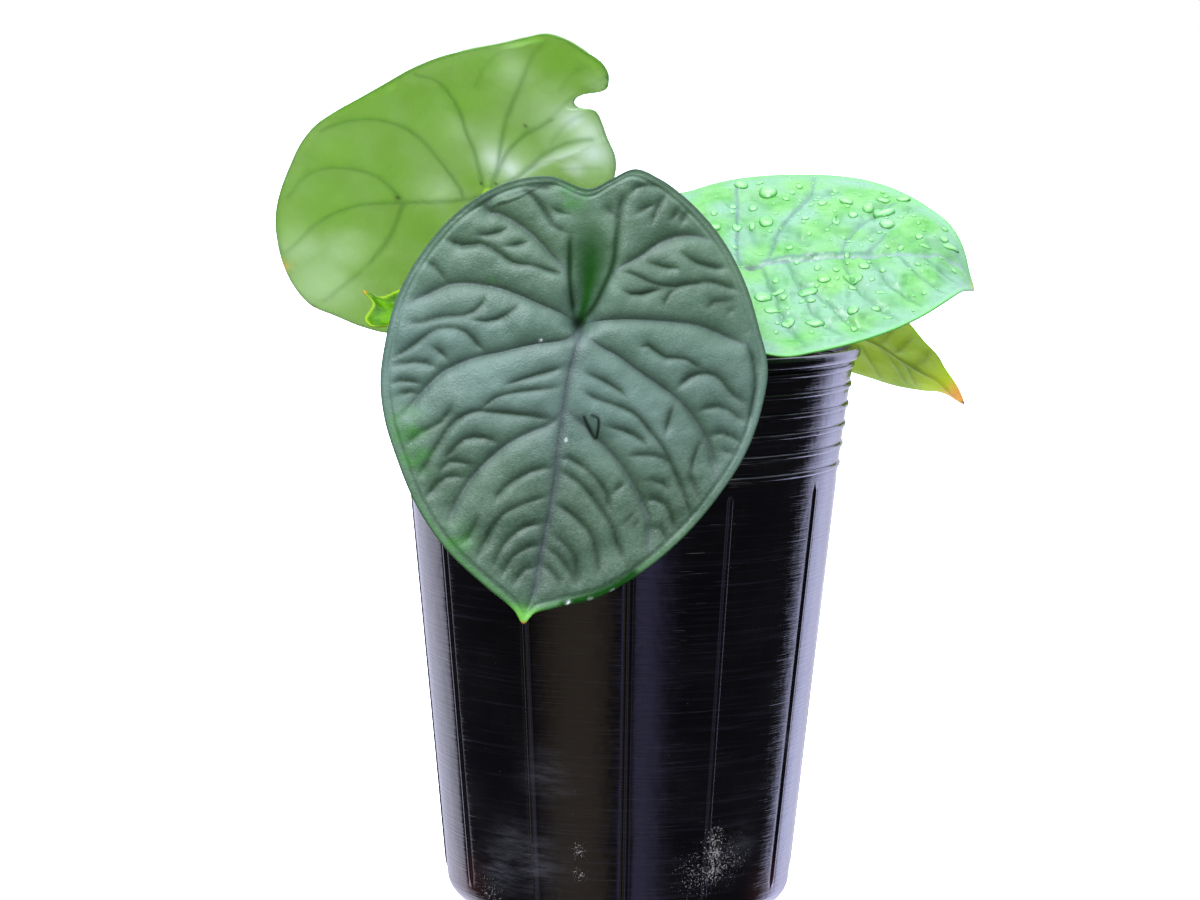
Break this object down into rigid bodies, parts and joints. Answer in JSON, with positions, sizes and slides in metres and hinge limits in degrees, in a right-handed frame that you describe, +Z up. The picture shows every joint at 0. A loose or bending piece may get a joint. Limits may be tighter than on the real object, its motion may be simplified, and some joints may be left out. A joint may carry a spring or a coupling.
{
  "type": "potted alocasia chaii",
  "caption": "Young aroid house plant with thick quilted peltate leaves on short stalks, growing in a tall tapered glossy black nursery pot filled with bark mix.",
  "frame": {"origin": "middle of the pot's flat base, on the surface the pot stands on", "axes": "+Z up along the pot's axis, -Y towards the side that the large front leaf hangs over, +X to the right seen from that side"},
  "size_m": [0.2259, 0.1865, 0.2763],
  "materials": {
    "black_plastic": "thin glossy black blow-moulded plastic with scuffs and dried water marks",
    "bark_mix": "moist bark, coir and grit, rough and matte",
    "corm_skin": "ringed fibrous skin, matte",
    "stalk": "smooth fleshy yellow-green stalk with fine dark flecks",
    "mature_leaf": "thick quilted pewter-green leaf, satin",
    "backlit_leaf": "pale yellow-green leaf underside with darker veins, satin",
    "mint_leaf": "bright mint-green leaf with grey-green veins and water drops, glossy",
    "olive_leaf": "olive yellow-green ageing leaf with a dry orange tip, satin",
    "young_leaf": "dark glossy green young leaf with a brown tip",
    "dry_sheath": "papery straw-brown sheath"
  },
  "bodies": {
    "root": {"pot": "black_plastic", "potting_mix": "bark_mix", "corm": "corm_skin", "petiole_front": "stalk", "petiole_back_left": "stalk", "petiole_right": "stalk", "petiole_low_right": "stalk", "petiole_young": "stalk", "blade_front": "mature_leaf", "blade_back_left": "backlit_leaf", "blade_right": "mint_leaf", "blade_low_right": "olive_leaf", "blade_young": "young_leaf", "cataphyll_a": "dry_sheath", "cataphyll_b": "dry_sheath"}
  },
  "joints": []
}
